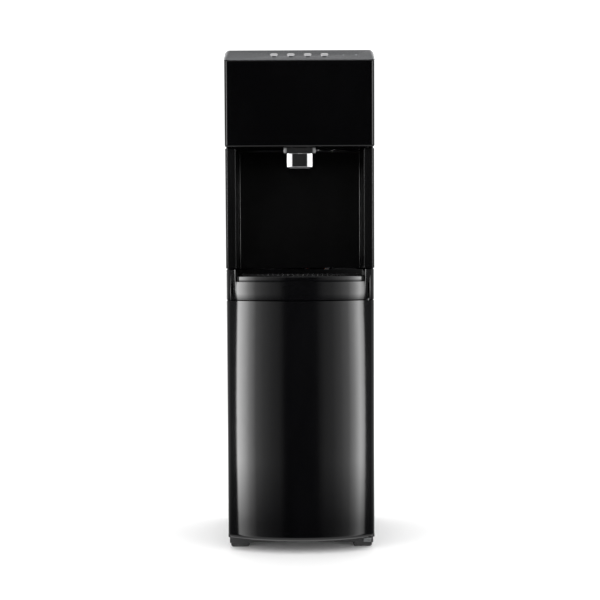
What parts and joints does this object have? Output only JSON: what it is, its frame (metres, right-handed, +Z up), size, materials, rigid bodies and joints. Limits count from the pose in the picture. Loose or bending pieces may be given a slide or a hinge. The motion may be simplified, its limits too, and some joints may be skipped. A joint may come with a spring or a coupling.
{
  "type": "water dispenser",
  "caption": "Floor-standing bottom-loading water dispenser: bowed hinged bottle door, open cup niche with a chrome spout, pull-out drip tray, sloping button strip and rear condenser",
  "frame": {"origin": "on the floor, under the centre of the bounding box", "axes": "+X to the viewer's right when facing the front, -Y towards the viewer (the front), +Z up"},
  "size_m": [0.308, 0.36, 1.043],
  "materials": {
    "gloss_black": "high-gloss black ABS",
    "satin_black": "satin black plastic",
    "matte_black": "matte black plastic",
    "painted_black": "black powder-coated sheet steel",
    "black_metal": "black enamelled steel",
    "strip_grey": "metallic grey painted plastic",
    "chrome": "polished chrome",
    "steel": "stainless steel",
    "zinc": "zinc-plated steel sheet",
    "copper": "copper refrigerant tube",
    "rubber": "black rubber",
    "foam": "moulded insulating foam",
    "silicone": "translucent silicone hose",
    "white_plastic": "natural white plastic",
    "board_green": "printed circuit board",
    "lens": "clear indicator lens"
  },
  "bodies": {
    "cabinet": {"base_pan": "matte_black", "bay_floor": "satin_black", "bay_liner": "satin_black", "bottle_probe": "white_plastic", "cold_hose": "silicone", "cold_jacket": "foam", "cold_tank": "steel", "compressor": "black_metal", "condenser_coil": "black_metal", "condenser_wires": "black_metal", "control_board": "board_green", "control_strip": "strip_grey", "drain_hose": "silicone", "drain_spout": "white_plastic", "evaporator_coil": "copper", "fill_hose": "silicone", "foot_front_left": "rubber", "foot_front_right": "rubber", "foot_rear_left": "rubber", "foot_rear_right": "rubber", "head_fascia": "gloss_black", "hinge_bottom": "zinc", "hinge_top": "zinc", "hot_hose": "silicone", "hot_tank": "steel", "indicator_lens_1": "lens", "indicator_lens_2": "lens", "mid_shelf": "zinc", "niche_ceiling": "gloss_black", "niche_shell": "gloss_black", "nozzle_collar": "chrome", "outlet_manifold": "white_plastic", "power_inlet": "matte_black", "probe_clip": "white_plastic", "pump": "matte_black", "rear_panel": "painted_black", "side_panel_left": "painted_black", "side_panel_right": "painted_black", "spout": "chrome", "supply_hose": "silicone", "switch_frame": "matte_black", "tank_shelf": "zinc", "top_cover": "gloss_black", "tray_deck": "gloss_black", "valve_cold": "white_plastic", "valve_hot": "white_plastic", "wall_spacer_left": "matte_black", "wall_spacer_right": "matte_black"},
    "door": {"door_shell": "gloss_black", "door_liner": "satin_black", "door_magnet": "rubber"},
    "tray": {"drip_tray": "gloss_black"},
    "grille": {"tray_grille": "matte_black"},
    "key_1": {"button_1": "chrome"},
    "key_2": {"button_2": "chrome"},
    "key_3": {"button_3": "chrome"},
    "key_4": {"button_4": "chrome"},
    "rocker_cold_body": {"rocker_cold": "gloss_black"},
    "rocker_hot_body": {"rocker_hot": "gloss_black"},
    "cap": {"drain_cap": "matte_black"}
  },
  "joints": [
    {"name": "door_hinge", "type": "hinge", "parent": "cabinet", "child": "door", "pos_m": [0.14, -0.1345, 0.025], "axis": [0, 0, 1], "range_deg": [0, 105]},
    {"name": "tray_slide", "type": "slide", "parent": "cabinet", "child": "tray", "axis": [0, -1, 0], "range_m": [0, 0.16]},
    {"name": "grille_lift", "type": "slide", "parent": "tray", "child": "grille", "axis": [0, 0, 1], "range_m": [0, 0.05]},
    {"name": "button_1_press", "type": "slide", "parent": "cabinet", "child": "key_1", "axis": [0, 0.5324, -0.8465], "range_m": [0, 0.0015], "stiffness_N_per_m": 500, "springref_m": -0.001},
    {"name": "button_2_press", "type": "slide", "parent": "cabinet", "child": "key_2", "axis": [0, 0.5324, -0.8465], "range_m": [0, 0.0015], "stiffness_N_per_m": 500, "springref_m": -0.001},
    {"name": "button_3_press", "type": "slide", "parent": "cabinet", "child": "key_3", "axis": [0, 0.5324, -0.8465], "range_m": [0, 0.0015], "stiffness_N_per_m": 500, "springref_m": -0.001},
    {"name": "button_4_press", "type": "slide", "parent": "cabinet", "child": "key_4", "axis": [0, 0.5324, -0.8465], "range_m": [0, 0.0015], "stiffness_N_per_m": 500, "springref_m": -0.001},
    {"name": "rocker_cold_tilt", "type": "hinge", "parent": "cabinet", "child": "rocker_cold_body", "pos_m": [0.0805, 0.1595, 0.988], "axis": [1, 0, 0], "range_deg": [0, 16]},
    {"name": "rocker_hot_tilt", "type": "hinge", "parent": "cabinet", "child": "rocker_hot_body", "pos_m": [0.0961, 0.1595, 0.988], "axis": [1, 0, 0], "range_deg": [0, 16]},
    {"name": "drain_cap_off", "type": "slide", "parent": "cabinet", "child": "cap", "axis": [0, 1, 0], "range_m": [0, 0.03]}
  ]
}
